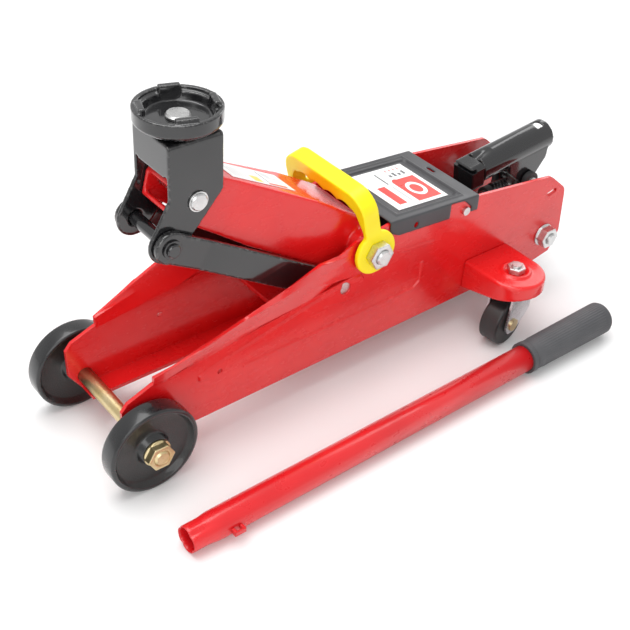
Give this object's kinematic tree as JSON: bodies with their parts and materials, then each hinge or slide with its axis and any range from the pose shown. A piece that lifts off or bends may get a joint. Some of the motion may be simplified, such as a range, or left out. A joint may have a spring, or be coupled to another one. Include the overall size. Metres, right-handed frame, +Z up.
{
  "type": "hydraulic trolley jack",
  "caption": "Low-profile hydraulic floor jack with lift arm, round saddle, carry handle, front wheels, rear swivel casters and a separate pump handle.",
  "frame": {"origin": "middle of the bounding box on the floor plane, with the pump handle lying beside the jack", "axes": "+Z up, +X from the saddle end to the handle end, the loose handle lies on the -Y side"},
  "size_m": [0.472, 0.2402, 0.2597],
  "materials": {
    "red_enamel": "gloss red enamel",
    "red_enamel_arm": "gloss red enamel on the arm",
    "red_enamel_tube": "gloss red enamel on tube",
    "wheel_black": "black painted casting",
    "yellow_zinc": "yellow passivated zinc",
    "bright_zinc": "bright zinc plate",
    "printed_label": "printed film",
    "black_enamel": "gloss black enamel",
    "cover_plastic": "satin dark grey",
    "yellow_plastic": "satin moulded yellow plastic",
    "fork_zinc": "zinc plated pressing",
    "caster_tread": "black moulded wheel",
    "brass_rivet": "yellow passivated rivet",
    "cast_body": "painted hydraulic casting",
    "spring_steel": "spring steel",
    "grip_rubber": "grey ribbed rubber"
  },
  "bodies": {
    "frame": {"frame_side_near": "red_enamel", "frame_side_far": "red_enamel", "base_plate": "red_enamel", "front_axle": "yellow_zinc", "axle_spacers": "yellow_zinc", "axle_nuts": "yellow_zinc", "pivot_shaft": "bright_zinc", "pivot_washers": "bright_zinc", "pivot_nuts": "bright_zinc", "link_studs": "bright_zinc", "cover": "cover_plastic", "label_plate": "printed_label", "cover_screws": "bright_zinc", "rear_tie": "bright_zinc", "rear_nuts": "bright_zinc", "caster_shelf_near": "red_enamel", "caster_shelf_far": "red_enamel", "caster_bolts": "bright_zinc", "caster_nuts": "bright_zinc", "pump_block": "cast_body", "cylinder": "cast_body", "release_valve": "bright_zinc", "socket_pin": "bright_zinc", "pump_spring": "spring_steel"},
    "lift_arm": {"lift_arm": "red_enamel_arm", "lug_roller": "bright_zinc", "arm_label": "printed_label", "arm_pin": "bright_zinc", "arm_pin_clips": "bright_zinc"},
    "links": {"link_bar_near": "black_enamel", "link_bar_far": "black_enamel", "link_pin": "black_enamel", "link_rings": "black_enamel"},
    "saddle_bracket": {"saddle_bracket": "black_enamel", "saddle_rivet": "bright_zinc"},
    "saddle": {"saddle": "black_enamel"},
    "carry_handle": {"carry_handle": "yellow_plastic"},
    "front_wheel_near": {"front_wheel_near": "wheel_black"},
    "front_wheel_far": {"front_wheel_far": "wheel_black"},
    "caster_fork_near": {"caster_fork_near": "fork_zinc", "caster_rivet_near": "brass_rivet"},
    "caster_fork_far": {"caster_fork_far": "fork_zinc", "caster_rivet_far": "brass_rivet"},
    "caster_wheel_near": {"caster_wheel_near": "caster_tread"},
    "caster_wheel_far": {"caster_wheel_far": "caster_tread"},
    "ram": {"ram": "bright_zinc"},
    "plunger": {"plunger": "bright_zinc"},
    "handle_socket": {"handle_socket": "black_enamel", "socket_roller": "bright_zinc"},
    "release_knuckle": {"release_knuckle": "black_enamel"},
    "pump_handle": {"handle_tube": "red_enamel_tube", "handle_grip": "grip_rubber", "grip_collar": "grip_rubber", "handle_tab": "red_enamel_tube"}
  },
  "joints": [
    {"name": "arm_lift", "type": "hinge", "parent": "frame", "child": "lift_arm", "pos_m": [0.00351, 0.0188, 0.1165], "axis": [0, 1, 0], "range_deg": [-44.3, 29.8]},
    {"name": "link_swing", "type": "hinge", "parent": "frame", "child": "links", "pos_m": [-0.02039, 0.0188, 0.0899], "axis": [0, 1, 0], "range_deg": [-44.3, 29.8]},
    {"name": "bracket_level", "type": "hinge", "parent": "lift_arm", "child": "saddle_bracket", "pos_m": [-0.13867, 0.0188, 0.19662], "axis": [0, 1, 0], "range_deg": [-29.8, 44.3]},
    {"name": "saddle_turn", "type": "hinge", "parent": "saddle_bracket", "child": "saddle", "pos_m": [-0.13867, 0.0188, 0.257], "axis": [0, 0, 1], "continuous": true},
    {"name": "carry_swing", "type": "hinge", "parent": "frame", "child": "carry_handle", "pos_m": [0.00351, 0.0188, 0.1165], "axis": [0, 1, 0], "range_deg": [-35.98, 24.21]},
    {"name": "front_wheel_near_spin", "type": "hinge", "parent": "frame", "child": "front_wheel_near", "pos_m": [-0.20099, -0.0355, 0.035], "axis": [0, 1, 0], "continuous": true},
    {"name": "front_wheel_far_spin", "type": "hinge", "parent": "frame", "child": "front_wheel_far", "pos_m": [-0.20099, 0.0731, 0.035], "axis": [0, 1, 0], "continuous": true},
    {"name": "caster_near_swivel", "type": "hinge", "parent": "frame", "child": "caster_fork_near", "pos_m": [0.13601, -0.0575, 0.05], "axis": [0, 0, 1], "continuous": true},
    {"name": "caster_far_swivel", "type": "hinge", "parent": "frame", "child": "caster_fork_far", "pos_m": [0.13601, 0.0951, 0.05], "axis": [0, 0, 1], "continuous": true},
    {"name": "caster_near_roll", "type": "hinge", "parent": "caster_fork_near", "child": "caster_wheel_near", "pos_m": [0.12712, -0.05894, 0.0205], "axis": [-0.1599, 0.9871, 0], "continuous": true},
    {"name": "caster_far_roll", "type": "hinge", "parent": "caster_fork_far", "child": "caster_wheel_far", "pos_m": [0.12712, 0.09654, 0.0205], "axis": [0.1599, 0.9871, 0], "continuous": true},
    {"name": "ram_stroke", "type": "slide", "parent": "frame", "child": "ram", "axis": [1, 0, 0], "range_m": [-0.01259, 0.01872]},
    {"name": "socket_pump", "type": "hinge", "parent": "frame", "child": "handle_socket", "pos_m": [0.20801, 0.0188, 0.0986], "axis": [0, -1, 0], "range_deg": [0, 18]},
    {"name": "plunger_stroke", "type": "slide", "parent": "frame", "child": "plunger", "axis": [1, 0, 0], "range_m": [0, 0.00329], "deforming": ["pump_spring"]},
    {"name": "release_turn", "type": "hinge", "parent": "handle_socket", "child": "release_knuckle", "pos_m": [0.15301, 0.0188, 0.1198], "axis": [0.993, 0, 0.1184], "range_deg": [-90, 90]},
    {"name": "handle_lift", "type": "slide", "parent": "frame", "child": "pump_handle", "axis": [0, 0, 1], "range_m": [0, 0.3]}
  ],
  "couplings": [
    {"joint": "link_swing", "follows": "arm_lift", "ratio": 1},
    {"joint": "bracket_level", "follows": "arm_lift", "ratio": -1},
    {"joint": "carry_swing", "follows": "arm_lift", "ratio": 0.812},
    {"joint": "ram_stroke", "follows": "arm_lift", "m_per_rad": -0.024193},
    {"joint": "plunger_stroke", "follows": "socket_pump", "m_per_rad": 0.010426}
  ]
}
